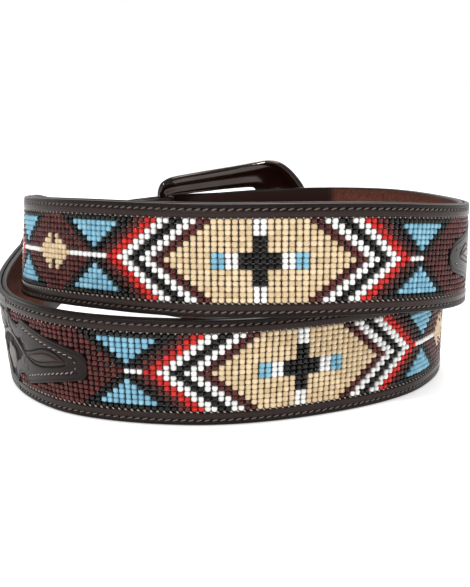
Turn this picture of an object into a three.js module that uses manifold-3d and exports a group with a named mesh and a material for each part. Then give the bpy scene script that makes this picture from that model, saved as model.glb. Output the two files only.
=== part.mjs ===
import * as THREE from "three";
import { mergeVertices } from "three/addons/utils/BufferGeometryUtils.js";
import Module from "manifold-3d";

const wasm = await Module();
wasm.setup();

// Driving dimensions in millimetres.
const beltWidth = 38;
const baseThickness = 2.1;
const faceThickness = 1.8;
const panelThickness = 1.6;
const seatGap = 0.3;
const borderWidth = 4.8;
const edgeInset = 0.3;
const edgeChamfer = 0.45;
const faceChamfer = 0.35;
const meanRadius = 84;
const stationStep = 11;
const fitTolerance = 0.05;

// Lengths along the belt, measured from the bar towards the buckle end's tongue.
const buckleTongueTip = 207.7;
const beadColumnPitch = 2.3;
const beadColumns = 285;
const tailPastBar = 90;
const flapLength = 44;
const faceStart = 16;
const tongueLength = 46;
const tailTaper = 24;
const barAngle = 554.2;

// Where the leather leaves its resting line to pass over the bar, from the bar.
const joinStart = 3.5;
const joinLength = 15;
const joinDrop = 2.4;
const releaseLength = 82;
const liftStart = -30;
const liftEnd = -3;
const tailSettle = 14;
const tailSpare = 0.25;

// Buckle.
const frameThickness = 4;
const frameLength = 74;
const openingSpare = 1.2;
const frameRim = 12.6;
const openingHalfHeight = beltWidth / 2 + openingSpare;
const frameHalfHeight = openingHalfHeight + frameRim;
const openingLength = 42.7;
const barWidth = 5;
const frameStart = barWidth / 2;
const prongWidth = 3.6;
const prongThickness = 2.2;
const prongEyeWall = 1.7;
const eyeClearance = 0.5;
const slotSpare = 0.2;
const prongReach = 53;
const holeDiameter = 5;
const holeSpacing = 25;
const holeCount = 5;
const prongHoleStretch = 4.6;
const prongHoleFromBar = -17;

const tongueTipB = buckleTongueTip + beadColumns * beadColumnPitch;
const faceTotal = baseThickness + seatGap + faceThickness;
const restOffset = -faceTotal / 2 + baseThickness / 2;
const faceLow = baseThickness / 2 + seatGap;
const faceHigh = faceLow + faceThickness;
const panelHigh = faceLow + panelThickness;
const frameLow = faceTotal / 2 + seatGap;
const barCentre = frameLow + frameThickness / 2;

// The coil by turn angle: distance from the axis as a share of the mean radius, height of the
// lower edge as a share of the belt width, and outward lean of the upper edge in degrees.
const coil = [
  { turn: 0, radius: 1.087, rise: 0, lean: 7 },
  { turn: 30, radius: 1.06, rise: 0, lean: 4.5 },
  { turn: 60, radius: 1.11, rise: 0, lean: 2.5 },
  { turn: 90, radius: 1.144, rise: 0, lean: 1 },
  { turn: 120, radius: 1.051, rise: 0, lean: 1 },
  { turn: 150, radius: 0.946, rise: 0, lean: 1 },
  { turn: 180, radius: 0.855, rise: 0.03, lean: 1 },
  { turn: 210, radius: 0.802, rise: 0.265, lean: 0 },
  { turn: 240, radius: 0.795, rise: 0.585, lean: -2.5 },
  { turn: 270, radius: 0.835, rise: 0.835, lean: -4 },
  { turn: 300, radius: 0.898, rise: 0.92, lean: -3.5 },
  { turn: 330, radius: 0.968, rise: 0.985, lean: -2 },
  { turn: 360, radius: 1.107, rise: 1.012, lean: 0 },
  { turn: 390, radius: 1.238, rise: 1.01, lean: 0 },
  { turn: 420, radius: 1.271, rise: 0.895, lean: 0 },
  { turn: 450, radius: 1.205, rise: 0.82, lean: 0 },
  { turn: 480, radius: 1.143, rise: 0.8, lean: 0 },
  { turn: 510, radius: 1.071, rise: 0.742, lean: 0 },
  { turn: 540, radius: 1.006, rise: 0.653, lean: 0 },
  { turn: 570, radius: 0.994, rise: 0.54, lean: 1 },
  { turn: 600, radius: 0.97, rise: 0.38, lean: 3 },
  { turn: 630, radius: 0.94, rise: 0.163, lean: 5 },
  { turn: 660, radius: 1.002, rise: 0.01, lean: 7 },
  { turn: 690, radius: 1.08, rise: 0, lean: 7 },
];

// Outline of a billet's tongue: distance back from its tip as a share of the tongue's length, and
// half width as a share of half the space between the borders.
const tongueShares = [
  { back: 0, half: 0.113 },
  { back: 0.0109, half: 0.211 },
  { back: 0.0304, half: 0.303 },
  { back: 0.0652, half: 0.373 },
  { back: 0.1304, half: 0.43 },
  { back: 0.2174, half: 0.486 },
  { back: 0.3696, half: 0.585 },
  { back: 0.5652, half: 0.739 },
  { back: 0.7174, half: 0.866 },
  { back: 0.7435, half: 0.88 },
  { back: 0.7826, half: 0.732 },
  { back: 0.837, half: 0.669 },
  { back: 0.9022, half: 0.711 },
  { back: 0.9565, half: 0.831 },
  { back: 1, half: 1 },
];
const tongueProfile = tongueShares.map(({ back, half }) => {
  return { back: back * tongueLength, half: half * (beltWidth / 2 - borderWidth) };
});
const shoulderBack = tongueLength + seatGap;

// Outline of the tail's end: distance back from the tip as a share of its taper, and half width
// as a share of half the belt's.
const tailShares = [
  { back: 0, half: 0.158 },
  { back: 0.033, half: 0.316 },
  { back: 0.108, half: 0.484 },
  { back: 0.25, half: 0.663 },
  { back: 0.458, half: 0.821 },
  { back: 0.708, half: 0.937 },
  { back: 1, half: 1 },
];
const tailProfile = tailShares.map(({ back, half }) => {
  return { back: back * tailTaper, half: half * (beltWidth / 2) };
});

// Upper half of the frame from the bar round to its far end: distance along the belt from the
// bar's outer side as a share of the frame's length, or past the bar as a share of the opening's,
// and height over the centre line as a share of the frame's or the opening's half height.
const frameShares = [
  { outerAlong: 0, outerHigh: 0, innerAlong: 0, innerHigh: 0 },
  { outerAlong: 0, outerHigh: 0.279, innerAlong: 0, innerHigh: 0.429 },
  { outerAlong: 0, outerHigh: 0.6, innerAlong: 0, innerHigh: 0.876 },
  { outerAlong: 0.016, outerHigh: 0.735, innerAlong: 0, innerHigh: 0.957 },
  { outerAlong: 0.045, outerHigh: 0.815, innerAlong: 0.042, innerHigh: 0.96 },
  { outerAlong: 0.115, outerHigh: 0.87, innerAlong: 0.164, innerHigh: 0.96 },
  { outerAlong: 0.284, outerHigh: 0.905, innerAlong: 0.398, innerHigh: 0.968 },
  { outerAlong: 0.493, outerHigh: 0.945, innerAlong: 0.703, innerHigh: 0.986 },
  { outerAlong: 0.649, outerHigh: 0.985, innerAlong: 0.932, innerHigh: 0.985 },
  { outerAlong: 0.736, outerHigh: 1, innerAlong: 0.979, innerHigh: 0.925 },
  { outerAlong: 0.811, outerHigh: 0.946, innerAlong: 0.998, innerHigh: 0.81 },
  { outerAlong: 0.892, outerHigh: 0.768, innerAlong: 1, innerHigh: 0.571 },
  { outerAlong: 0.959, outerHigh: 0.49, innerAlong: 1, innerHigh: 0.286 },
  { outerAlong: 1, outerHigh: 0, innerAlong: 1, innerHigh: 0 },
];
const frameSections = frameShares.map((row) => ({
  outerAlong: row.outerAlong * frameLength,
  outerHigh: row.outerHigh * frameHalfHeight,
  innerAlong: barWidth + row.innerAlong * openingLength,
  innerHigh: row.innerHigh * openingHalfHeight,
}));

// Section through the frame, in order round it: share of the way from the opening to the
// outline, the inset from there in millimetres, and the height as a share of the thickness.
const frameProfile = [
  { share: 0, inset: 0, high: 0.28 },
  { share: 0, inset: 1, high: 0 },
  { share: 0.36, inset: 0, high: 0 },
  { share: 0.7, inset: 0, high: 0 },
  { share: 1, inset: -1.4, high: 0 },
  { share: 1, inset: -0.4, high: 0.2 },
  { share: 1, inset: 0, high: 0.5 },
  { share: 1, inset: -0.4, high: 0.8 },
  { share: 1, inset: -1.4, high: 1 },
  { share: 0.7, inset: 0, high: 1 },
  { share: 0.36, inset: 0, high: 1 },
  { share: 0, inset: 1, high: 1 },
  { share: 0, inset: 0, high: 0.72 },
];

// The coil's centre line as a closed curve, and the lean along it.
const rowPoint = (row) => {
  const angle = THREE.MathUtils.degToRad(row.turn);
  const radius = row.radius * meanRadius;
  const high = row.rise * beltWidth + beltWidth / 2;
  return new THREE.Vector3(radius * Math.sin(angle), -radius * Math.cos(angle), high);
};
const closed = (points) => new THREE.CatmullRomCurve3(points, true, "catmullrom", 0.5);
const centreCurve = closed(coil.map(rowPoint));
const leanCurve = closed(coil.map((row) => new THREE.Vector3(row.lean, 0, 0)));
const wholeTurns = 720;
const barShare = barAngle / wholeTurns;
const samples = 1440;

const curvePoint = (share) => {
  const point = centreCurve.getPoint(share);
  point.z = Math.max(point.z, beltWidth / 2);
  return point;
};

const lengths = [0];
let lastPoint = curvePoint(barShare);
for (let i = 1; i <= samples; i += 1) {
  const point = curvePoint((barShare + i / samples) % 1);
  lengths.push(lengths[i - 1] + point.distanceTo(lastPoint));
  lastPoint = point;
}
const loopLength = lengths[samples];
const tailTip = loopLength + tailPastBar;

const shareAt = (along) => {
  const wanted = ((along % loopLength) + loopLength) % loopLength;
  let low = 0;
  let high = samples;
  while (high - low > 1) {
    const middle = (low + high) >> 1;
    if (lengths[middle] > wanted) high = middle;
    else low = middle;
  }
  const part = (wanted - lengths[low]) / (lengths[high] - lengths[low]);
  return (barShare + (low + part) / samples) % 1;
};

// Places a point given along the belt, across it from the lower edge, and outward.
const up = new THREE.Vector3(0, 0, 1);
const place = (along, across, outward) => {
  const reach = 0.6;
  const share = shareAt(along);
  const ahead = curvePoint(shareAt(along + reach));
  const tangent = ahead.sub(curvePoint(shareAt(along - reach))).normalize();
  const normal = new THREE.Vector3().crossVectors(tangent, up).normalize();
  const rising = new THREE.Vector3().crossVectors(normal, tangent);
  const lean = Math.tan(THREE.MathUtils.degToRad(leanCurve.getPoint(share).x));
  const height = across - beltWidth / 2;
  const point = curvePoint(share);
  point.addScaledVector(normal, outward + height * lean);
  return point.addScaledVector(rising, height);
};

// Height of the base layer's middle over the centre line, near the bar and elsewhere.
const ease = THREE.MathUtils.smoothstep;
const mix = THREE.MathUtils.lerp;
const barClearance = 2 * seatGap + baseThickness / 2;
const legHigh = barCentre + frameThickness / 2 + barClearance;
const legLow = barCentre - frameThickness / 2 - barClearance;
const joinedHigh = legHigh - joinDrop;
const joinedLow = joinedHigh - baseThickness - seatGap;
const eyeRadius = barWidth / 2 + eyeClearance + prongEyeWall;
const slotRadius = barWidth / 2 + 2 * seatGap + baseThickness + slotSpare;
const slotWidth = prongWidth + 2 * seatGap;
const tailOverEye = barCentre + slotRadius + seatGap / 2 + baseThickness / 2;
const buckleLeg = (x) => {
  const joined = mix(legHigh, joinedHigh, ease(x, joinStart, joinLength));
  return mix(joined, restOffset, ease(x, flapLength, releaseLength));
};
const tailOverLeg = (x) => buckleLeg(x) + faceHigh + seatGap + baseThickness / 2;
const baseHeight = (x) => {
  if (x < loopLength / 2) return buckleLeg(x);
  const past = x - loopLength;
  const lifted = mix(restOffset, tailOverEye, ease(past, liftStart, liftEnd));
  if (past < faceStart) return lifted;
  return mix(lifted, tailOverLeg(past) + tailSpare, ease(past, faceStart, faceStart + tailSettle));
};

// A station is a point of the base layer's middle line with its normal and half width.
const withNormals = (points) => points.map((point, i) => {
  const before = points[Math.max(i - 1, 0)];
  const after = points[Math.min(i + 1, points.length - 1)];
  const run = new THREE.Vector2(after.x - before.x, after.y - before.y).normalize();
  return { x: point.x, y: point.y, normal: new THREE.Vector2(-run.y, run.x) };
});
const spread = (from, to, step) => {
  const count = Math.max(1, Math.round(Math.abs(to - from) / step));
  return Array.from({ length: count + 1 }, (_, i) => mix(from, to, i / count));
};
const fineStep = 5.4;
const fineLead = 4;
const runStations = (from, to) => {
  const fineTo = Math.min(releaseLength, to);
  const fineFrom = Math.max(loopLength + liftStart - fineLead, from);
  const list = [
    ...(from < releaseLength ? spread(from, fineTo, fineStep) : [from]),
    ...spread(Math.max(from, releaseLength), Math.min(fineFrom, to), stationStep),
    ...(to > fineFrom ? spread(fineFrom, to, fineStep) : []),
  ];
  return list.filter((x, i) => i === 0 || x - list[i - 1] > fitTolerance);
};
const baseLine = (xs) => withNormals(xs.map((x) => new THREE.Vector2(x, baseHeight(x))));

const foldSteps = 8;
const foldAcross = barWidth / 2 + barClearance;
const foldHigh = (legHigh - legLow) / 2;
const flapLine = spread(flapLength, 0, fineStep).map((x) => {
  return new THREE.Vector2(x, mix(legLow, joinedLow, ease(x, joinStart, joinLength)));
});
const foldLine = Array.from({ length: foldSteps - 1 }, (_, i) => {
  const angle = Math.PI * (0.5 + (i + 1) / foldSteps);
  return new THREE.Vector2(
    foldAcross * Math.cos(angle),
    barCentre - foldHigh * Math.sin(angle),
  );
});

// Looks a half width up in a profile, with full width behind its last row.
const halfFrom = (profile, back, full) => {
  if (back <= profile[0].back) return profile[0].half;
  for (let i = 1; i < profile.length; i += 1) {
    const above = profile[i];
    if (back <= above.back) {
      const below = profile[i - 1];
      return mix(below.half, above.half, (back - below.back) / (above.back - below.back));
    }
  }
  return full;
};

// A layer of the belt: a box whose lengthwise steps follow the stations.
const layer = (stations, halfAt, low, high, chamfer, rows = 3, middle = beltWidth / 2) => {
  const box = new THREE.BoxGeometry(1, 1, 1, stations.length - 1, rows, 1);
  const position = box.attributes.position;
  for (let i = 0; i < position.count; i += 1) {
    const station = stations[Math.round((position.getX(i) + 0.5) * (stations.length - 1))];
    const row = Math.round((position.getY(i) + 0.5) * rows);
    const edge = row === 0 || row === rows;
    const side = Math.sign(2 * row - rows);
    const half = halfAt(station.x) - (edge ? 0 : chamfer);
    const inset = edge ? chamfer : 0;
    const off = position.getZ(i) > 0 ? high - inset : low + inset;
    const point = place(
      station.x + station.normal.x * off,
      middle + side * half,
      station.y + station.normal.y * off,
    );
    position.setXYZ(i, point.x, point.y, point.z);
  }
  return box;
};

const toSolid = (geometry) => {
  const plain = geometry.clone();
  plain.deleteAttribute("normal");
  plain.deleteAttribute("uv");
  const merged = mergeVertices(plain, 1e-4);
  return new wasm.Manifold(new wasm.Mesh({
    numProp: 3,
    vertProperties: new Float32Array(merged.attributes.position.array),
    triVerts: new Uint32Array(merged.index.array),
  }));
};
const toGeometry = (solid) => {
  const mesh = solid.getMesh();
  const geometry = new THREE.BufferGeometry();
  geometry.setAttribute("position", new THREE.BufferAttribute(mesh.vertProperties, 3));
  geometry.setIndex(new THREE.BufferAttribute(mesh.triVerts, 1));
  return geometry;
};

// A cutter that stands through the tail at a place along it, drawn out both ways by a stretch.
const holeSides = 10;
const holePass = 0.2;
const punch = (along, stretch) => {
  const height = baseHeight(along) + faceHigh - faceTotal / 2;
  const radius = holeDiameter / 2;
  const long = faceTotal + 2 * holePass + 2 * stretch;
  const turned = Math.PI / holeSides;
  const pin = new THREE.CylinderGeometry(radius, radius, long, holeSides, 1, false, turned);
  const position = pin.attributes.position;
  for (let i = 0; i < position.count; i += 1) {
    const point = place(
      along + position.getX(i) + Math.sign(Math.round(position.getX(i) / fitTolerance)) * stretch,
      beltWidth / 2 + position.getZ(i),
      height - position.getY(i),
    );
    position.setXYZ(i, point.x, point.y, point.z);
  }
  return toSolid(pin);
};
const holePlaces = Array.from({ length: holeCount }, (_, i) => {
  const step = i - (holeCount - 1) / 2;
  return { along: loopLength + prongHoleFromBar + step * holeSpacing, used: step === 0 };
});
const holes = holePlaces.map(({ along, used }) => punch(along, used ? prongHoleStretch : 0));

// Base layer: flap, fold round the bar, the whole run, and the tail.
const full = beltWidth / 2;
const backStations = (profile, tip, sign) => profile.map((row) => tip + sign * row.back);
const sorted = (list) => {
  const ordered = [...list].sort((a, b) => a - b);
  return ordered.filter((x, i) => i === 0 || x - ordered[i - 1] > fitTolerance);
};
const tailRows = backStations(tailProfile, tailTip, -1);
const tailBlend = tailRows[tailRows.length - 1];
const gridRun = runStations(0, tailBlend);
const gridWithin = (from, to) => [from, ...gridRun.filter((x) => x > from && x < to), to];
const mainRun = sorted([...gridRun, ...tailRows]);
const mainLine = mainRun.map((x) => new THREE.Vector2(x, baseHeight(x)));
const wholeLine = withNormals([...flapLine, ...foldLine, ...mainLine]);
const tailHalf = (x) => halfFrom(tailProfile, tailTip - x, full);

// A drum across the belt at the bar, bent with the belt.
const drumSides = 24;
const drum = (radius, width) => {
  const barrel = new THREE.CylinderGeometry(radius, radius, width, drumSides);
  const position = barrel.attributes.position;
  for (let i = 0; i < position.count; i += 1) {
    const point = place(
      position.getX(i),
      beltWidth / 2 + position.getY(i),
      barCentre + position.getZ(i),
    );
    position.setXYZ(i, point.x, point.y, point.z);
  }
  return toSolid(barrel);
};
const halfBase = baseThickness / 2;
let strapSolid = toSolid(layer(wholeLine, tailHalf, -halfBase, halfBase, edgeChamfer, 4));
strapSolid = strapSolid.subtract(drum(slotRadius, slotWidth));
for (const hole of holes) strapSolid = strapSolid.subtract(hole);

// Facing layers.
const faceHalf = full - edgeInset;
const tongueHalf = (back) => halfFrom(tongueProfile, back, faceHalf);
const withShoulder = (tip, sign) => [
  ...backStations(tongueProfile, tip, sign),
  tip + sign * shoulderBack,
];
const buckleFaceStations = baseLine(sorted([
  ...gridWithin(faceStart, buckleTongueTip - shoulderBack),
  ...withShoulder(buckleTongueTip, -1),
]));
const tailFaceRows = tailRows.map((x) => x - edgeInset);
const tipFaceStations = baseLine(sorted([
  ...withShoulder(tongueTipB, 1),
  ...gridWithin(tongueTipB + shoulderBack, tailFaceRows[tailFaceRows.length - 1]),
  ...tailFaceRows,
]));
const buckleFaceHalf = (x) => tongueHalf(buckleTongueTip - x);
const tipFaceHalf = (x) => {
  const tongue = tongueHalf(x - tongueTipB);
  return Math.min(tongue, halfFrom(tailProfile, tailTip - edgeInset - x, full) - edgeInset);
};
const buckleFace = layer(buckleFaceStations, buckleFaceHalf, faceLow, faceHigh, faceChamfer);
let tipFace = toSolid(layer(tipFaceStations, tipFaceHalf, faceLow, faceHigh, faceChamfer));
for (const hole of holes) tipFace = tipFace.subtract(hole);

const borderFrom = buckleTongueTip - shoulderBack + seatGap;
const borderTo = tongueTipB + shoulderBack - seatGap;
const borderStations = baseLine(gridWithin(borderFrom, borderTo));
const borderHalf = (borderWidth - edgeInset) / 2;
const borderMiddle = edgeInset + borderHalf;
const border = (middle) => {
  return layer(borderStations, () => borderHalf, faceLow, faceHigh, faceChamfer, 3, middle);
};

// The woven panel lies between the borders and stops short of both tongues.
const panelHalf = full - borderWidth - seatGap;
const panelBlank = toSolid(layer(borderStations, () => panelHalf, faceLow, panelHigh, faceChamfer, 4));
const cutterSpare = 1;
const grownProfile = tongueProfile.map((row, i) => {
  const before = tongueProfile[Math.max(i - 1, 0)];
  const after = tongueProfile[Math.min(i + 1, tongueProfile.length - 1)];
  const run = new THREE.Vector2(after.back - before.back, after.half - before.half).normalize();
  return { back: row.back - seatGap * run.y, half: row.half + seatGap * run.x };
});
const grownCutter = (tip, sign) => {
  const rows = backStations(grownProfile, tip, sign);
  const stations = sorted([...rows, tip + sign * (shoulderBack + 2 * cutterSpare)]);
  const half = (x) => halfFrom(grownProfile, sign * (x - tip), faceHalf);
  const low = faceLow - cutterSpare;
  const high = faceHigh + cutterSpare;
  return toSolid(layer(baseLine(stations), half, low, high, fitTolerance));
};
const panel = panelBlank
  .subtract(grownCutter(buckleTongueTip, -1))
  .subtract(grownCutter(tongueTipB, 1));

// Buckle frame: a ring whose steps follow the section table, smoothed and mirrored.
const lowerRows = frameSections.slice(1, -1).reverse().map((row) => ({
  ...row,
  outerHigh: -row.outerHigh,
  innerHigh: -row.innerHigh,
}));
const ringRows = [...frameSections, ...lowerRows];
const outerCurve = closed(ringRows.map((r) => new THREE.Vector3(r.outerAlong, r.outerHigh, 0)));
const innerCurve = closed(ringRows.map((r) => new THREE.Vector3(r.innerAlong, r.innerHigh, 0)));
const ringSteps = ringRows.length * 2;
const frameGeometry = () => {
  const ring = new THREE.TorusGeometry(1, 0.5, frameProfile.length, ringSteps);
  const position = ring.attributes.position;
  const uv = ring.attributes.uv;
  for (let i = 0; i < position.count; i += 1) {
    const step = Math.round(uv.getX(i) * ringSteps) % ringSteps;
    const corner = Math.round(uv.getY(i) * frameProfile.length) % frameProfile.length;
    const outer = outerCurve.getPoint(step / ringSteps);
    const inner = innerCurve.getPoint(step / ringSteps);
    const row = frameProfile[corner];
    const run = outer.clone().sub(inner).normalize();
    const point = inner.lerp(outer, row.share).addScaledVector(run, row.inset);
    const high = frameLow + row.high * frameThickness;
    const placed = place(frameStart - point.x, beltWidth / 2 + point.y, high);
    position.setXYZ(i, placed.x, placed.y, placed.z);
  }
  return ring;
};

// Prong: an eye round the bar with a shaft that rests on the frame's far end.
const prongSeat = 0.48;
const prongRest = frameLow + frameThickness + prongSeat + prongThickness / 2;
const prongSolid = () => {
  const shape = new THREE.Shape();
  const startAngle = 0.22;
  const rootHigh = 0.6;
  const tipHigh = 0.1;
  const root = new THREE.Vector2(-eyeRadius * Math.cos(startAngle), eyeRadius * Math.sin(startAngle));
  const lift = prongRest - barCentre;
  const shaftSteps = 12;
  const tipRound = prongThickness / 2;
  const shaftAt = (i) => {
    const part = i / shaftSteps;
    return new THREE.Vector2(mix(root.x, -prongReach + tipRound, part), mix(rootHigh, lift, part));
  };
  shape.absarc(0, 0, eyeRadius, Math.PI + startAngle, 3 * Math.PI - 2 * startAngle, false);
  for (let i = 1; i <= shaftSteps; i += 1) {
    const point = shaftAt(i);
    shape.lineTo(point.x, point.y + prongThickness / 2);
  }
  const tip = shaftAt(shaftSteps);
  shape.lineTo(tip.x - tipRound, tip.y + tipHigh);
  for (let i = shaftSteps; i >= 1; i -= 1) {
    const point = shaftAt(i);
    shape.lineTo(point.x, point.y - prongThickness / 2);
  }
  const eye = new THREE.Path();
  eye.absarc(0, 0, eyeRadius - prongEyeWall, 0, 2 * Math.PI, true);
  shape.holes.push(eye);
  const bevel = 0.4;
  const body = new THREE.ExtrudeGeometry(shape, {
    depth: prongWidth - 2 * bevel,
    bevelEnabled: true,
    bevelThickness: bevel,
    bevelSize: bevel,
    bevelOffset: -bevel,
    bevelSegments: 1,
    curveSegments: 6,
  });
  const position = body.attributes.position;
  for (let i = 0; i < position.count; i += 1) {
    const point = place(
      position.getX(i),
      beltWidth / 2 + prongWidth / 2 - bevel - position.getZ(i),
      barCentre + position.getY(i),
    );
    position.setXYZ(i, point.x, point.y, point.z);
  }
  return toSolid(body);
};

// Assembly.
const looks = {
  leather: { color: 0x32291f, roughness: 0.45, metalness: 0 },
  weave: { color: 0x5a2d25, roughness: 0.35, metalness: 0 },
  metal: { color: 0x6d6a68, roughness: 0.15, metalness: 1 },
};
const belt = new THREE.Group();
belt.name = "beaded_belt";
const add = (name, geometry, look) => {
  const mesh = new THREE.Mesh(geometry, new THREE.MeshStandardMaterial(looks[look]));
  mesh.name = name;
  belt.add(mesh);
};
const asSolid = (geometry) => toGeometry(toSolid(geometry));
add("strap", toGeometry(strapSolid), "leather");
add("border_upper", asSolid(border(beltWidth - borderMiddle)), "leather");
add("border_lower", asSolid(border(borderMiddle)), "leather");
add("bead_panel", toGeometry(panel), "weave");
add("billet_buckle_end", asSolid(buckleFace), "leather");
add("billet_tip_end", toGeometry(tipFace), "leather");
add("buckle_frame", asSolid(frameGeometry()), "metal");
add("prong", toGeometry(prongSolid()), "metal");

const bounds = new THREE.Box3().setFromObject(belt);
const middle = bounds.getCenter(new THREE.Vector3());
for (const mesh of belt.children) {
  mesh.geometry.translate(-middle.x, -middle.y, -bounds.min.z);
}

export default belt;
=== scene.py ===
import math

import bmesh
import bpy
import numpy as np
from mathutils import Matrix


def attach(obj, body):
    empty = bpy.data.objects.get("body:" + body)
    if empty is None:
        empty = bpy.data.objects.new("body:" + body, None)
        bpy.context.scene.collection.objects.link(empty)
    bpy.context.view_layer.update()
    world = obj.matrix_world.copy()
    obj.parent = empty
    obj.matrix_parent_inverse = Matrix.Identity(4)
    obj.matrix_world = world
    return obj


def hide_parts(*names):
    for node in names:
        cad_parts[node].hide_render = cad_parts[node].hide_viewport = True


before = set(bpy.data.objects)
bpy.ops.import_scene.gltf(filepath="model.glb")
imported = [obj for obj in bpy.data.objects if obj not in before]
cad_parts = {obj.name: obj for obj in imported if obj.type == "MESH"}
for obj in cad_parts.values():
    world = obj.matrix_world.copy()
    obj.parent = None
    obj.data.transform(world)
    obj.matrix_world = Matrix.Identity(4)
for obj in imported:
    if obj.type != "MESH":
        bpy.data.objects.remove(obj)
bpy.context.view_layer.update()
print("stage 1: the packed belt is loaded")

# The coil by turn angle: distance from the axis as a share of the mean radius, height of the
# lower edge as a share of the belt's width, and outward lean of the upper edge in degrees.
coilValues = {
    "beltWidth": 0.038,
    "meanRadius": 0.084,
    "barTurn": 554.2,
    "planMiddle": (0.009672821, -0.000696678),
    "rows": [
        (0, 1.087, 0, 7), (30, 1.06, 0, 4.5), (60, 1.11, 0, 2.5), (90, 1.144, 0, 1),
        (120, 1.051, 0, 1), (150, 0.946, 0, 1), (180, 0.855, 0.03, 1), (210, 0.802, 0.265, 0),
        (240, 0.795, 0.585, -2.5), (270, 0.835, 0.835, -4), (300, 0.898, 0.92, -3.5),
        (330, 0.968, 0.985, -2), (360, 1.107, 1.012, 0), (390, 1.238, 1.01, 0),
        (420, 1.271, 0.895, 0), (450, 1.205, 0.82, 0), (480, 1.143, 0.8, 0),
        (510, 1.071, 0.742, 0), (540, 1.006, 0.653, 0), (570, 0.994, 0.54, 1),
        (600, 0.97, 0.38, 3), (630, 0.94, 0.163, 5), (660, 1.002, 0.01, 7), (690, 1.08, 0, 7),
    ],
}
# Layers, and places along the belt from the bar towards the buckle end's tongue, in metres.
beltValues = {
    "base": 0.0021, "face": 0.0018, "gap": 0.0003, "border": 0.0048, "inset": 0.0003,
    "buckleTongueTip": 0.2077, "columnPitch": 0.0023, "columns": 285, "tongueLength": 0.046,
    "tailPastBar": 0.090, "tailTaper": 0.024, "flap": 0.044, "faceStart": 0.016,
    "tailSettle": 0.014, "release": 0.082, "lift": (-0.030, -0.003), "join": (0.0035, 0.015),
    "joinDrop": 0.0024, "tailSpare": 0.00025,
}
# The frame's and the prong's own sizes, which the bar's fold and slot are worked out from.
frameValues = {
    "thickness": 0.004, "bar": 0.005, "length": 0.074, "opening": 0.0427,
    "openingHalf": 0.0202, "half": 0.0328, "eyeWall": 0.0017, "eyeClearance": 0.0005,
    "slotSpare": 0.0002, "prongWidth": 0.0036, "prongThickness": 0.0022, "prongReach": 0.053,
    "prongSeat": 0.00048,
}

beltWidth = coilValues["beltWidth"]
halfWidth = beltWidth / 2
base = beltValues["base"]
face = beltValues["face"]
gap = beltValues["gap"]
tongueLength = beltValues["tongueLength"]
tongueA = beltValues["buckleTongueTip"]
tongueB = tongueA + beltValues["columns"] * beltValues["columnPitch"]
shoulder = tongueLength + gap
faceLow = base / 2 + gap
faceHigh = faceLow + face
faceTotal = base + gap + face
restOffset = -faceTotal / 2 + base / 2
frameLow = faceTotal / 2 + gap
frameThickness = frameValues["thickness"]
barCentre = frameLow + frameThickness / 2
barClearance = 2 * gap + base / 2
legHigh = barCentre + frameThickness / 2 + barClearance
legLow = barCentre - frameThickness / 2 - barClearance
joinedHigh = legHigh - beltValues["joinDrop"]
joinedLow = joinedHigh - base - gap
slotRadius = frameValues["bar"] / 2 + 2 * gap + base + frameValues["slotSpare"]
eyeRadius = frameValues["bar"] / 2 + frameValues["eyeClearance"] + frameValues["eyeWall"]
tailOverEye = barCentre + slotRadius + gap / 2 + base / 2
faceHalf = halfWidth - beltValues["inset"]
borderInner = halfWidth - beltValues["border"]


# A closed curve through evenly spaced rows: the usual cubic whose slope at each row is half the
# difference of its neighbours.
def closedCurve(rows, share):
    count = len(rows)
    where = np.asarray(share) % 1.0 * count
    start = np.floor(where).astype(int)
    f = (where - start)[..., None]
    before, here, ahead, beyond = (rows[(start + step) % count] for step in (-1, 0, 1, 2))
    slope = ahead - before
    bend = 2 * before - 5 * here + 4 * ahead - beyond
    twist = 3 * here - before - 3 * ahead + beyond
    return 0.5 * (2 * here + slope * f + bend * f ** 2 + twist * f ** 3)


# Smooth step from 0 to 1 between two places: three squares less two cubes.
def ease(x, low, high):
    t = np.clip((x - low) / (high - low), 0, 1)
    return t * t * (3 - 2 * t)


# The straight share of the way from one value to another.
def mix(a, b, t):
    return a + (b - a) * t


coilRows = np.array(coilValues["rows"], float)
turnAngle = np.radians(coilRows[:, 0])
turnRadius = coilRows[:, 1] * coilValues["meanRadius"]
centreRows = np.stack([
    turnRadius * np.sin(turnAngle),
    -turnRadius * np.cos(turnAngle),
    coilRows[:, 2] * beltWidth + halfWidth,
], axis=1)
leanRows = coilRows[:, 3:4]
barShare = coilValues["barTurn"] / 720
runSteps = np.linspace(0, 1, 1441)


# A place on the coil's middle line by its share of the two turns, held up to standing height.
def centreAt(share):
    point = closedCurve(centreRows, share)
    point[..., 2] = np.maximum(point[..., 2], halfWidth)
    return point


runPoints = centreAt(barShare + runSteps)
runLengths = np.concatenate([[0], np.cumsum(np.linalg.norm(np.diff(runPoints, axis=0), axis=1))])
loopLength = runLengths[-1]
tailTip = loopLength + beltValues["tailPastBar"]
faceTip = tailTip - beltValues["inset"]


# Share of the two turns at a length along the belt, read from the summed lengths.
def shareAt(along):
    return barShare + np.interp(np.asarray(along) % loopLength, runLengths, runSteps)


def unit(vectors):
    return vectors / np.linalg.norm(vectors, axis=-1, keepdims=True)


# A point along the belt, across it from the lower edge, and outward: the coil's centre plus the
# level normal times the outward distance and the lean, plus the steepest direction in the belt.
def place(along, across, outward):
    along, across, outward = np.broadcast_arrays(
        np.asarray(along, float), np.asarray(across, float), np.asarray(outward, float))
    reach = 0.0006
    share = shareAt(along)
    tangent = unit(centreAt(shareAt(along + reach)) - centreAt(shareAt(along - reach)))
    normal = unit(np.cross(tangent, np.array([0.0, 0.0, 1.0])))
    rising = np.cross(normal, tangent)
    lean = np.tan(np.radians(closedCurve(leanRows, share)[..., 0]))
    height = across - halfWidth
    point = centreAt(share) + normal * (outward + height * lean)[..., None]
    point = point + rising * height[..., None]
    point[..., :2] -= np.array(coilValues["planMiddle"])
    return point


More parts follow.
